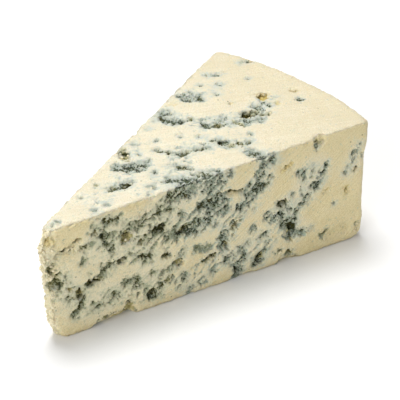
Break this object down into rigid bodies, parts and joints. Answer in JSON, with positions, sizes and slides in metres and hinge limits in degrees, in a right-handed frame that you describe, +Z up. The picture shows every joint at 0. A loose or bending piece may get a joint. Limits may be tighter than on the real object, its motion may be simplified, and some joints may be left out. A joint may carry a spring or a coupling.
{
  "type": "blue cheese wedge",
  "caption": "Wedge of blue-veined cheese cut from a flat round wheel, with a blunt tip, broken pits in its cut faces and a curved rind.",
  "frame": {"origin": "under the middle of the wedge's bounding box, on the surface that it lies on", "axes": "+X from the tip to the rind, along the wedge's longest side; +Z up, out of the veined upper face"},
  "size_m": [0.1066, 0.06, 0.0405],
  "materials": {
    "paste": "cream-coloured cheese, dull and slightly moist, marbled with blue-green mould, with a pale dry rind on its curved side",
    "mould": "dark blue-green mould grains in the pits and veins",
    "crumb": "loose cream-coloured crumbs of the same cheese"
  },
  "bodies": {
    "root": {"cheese_wedge": "paste"}
  },
  "joints": []
}
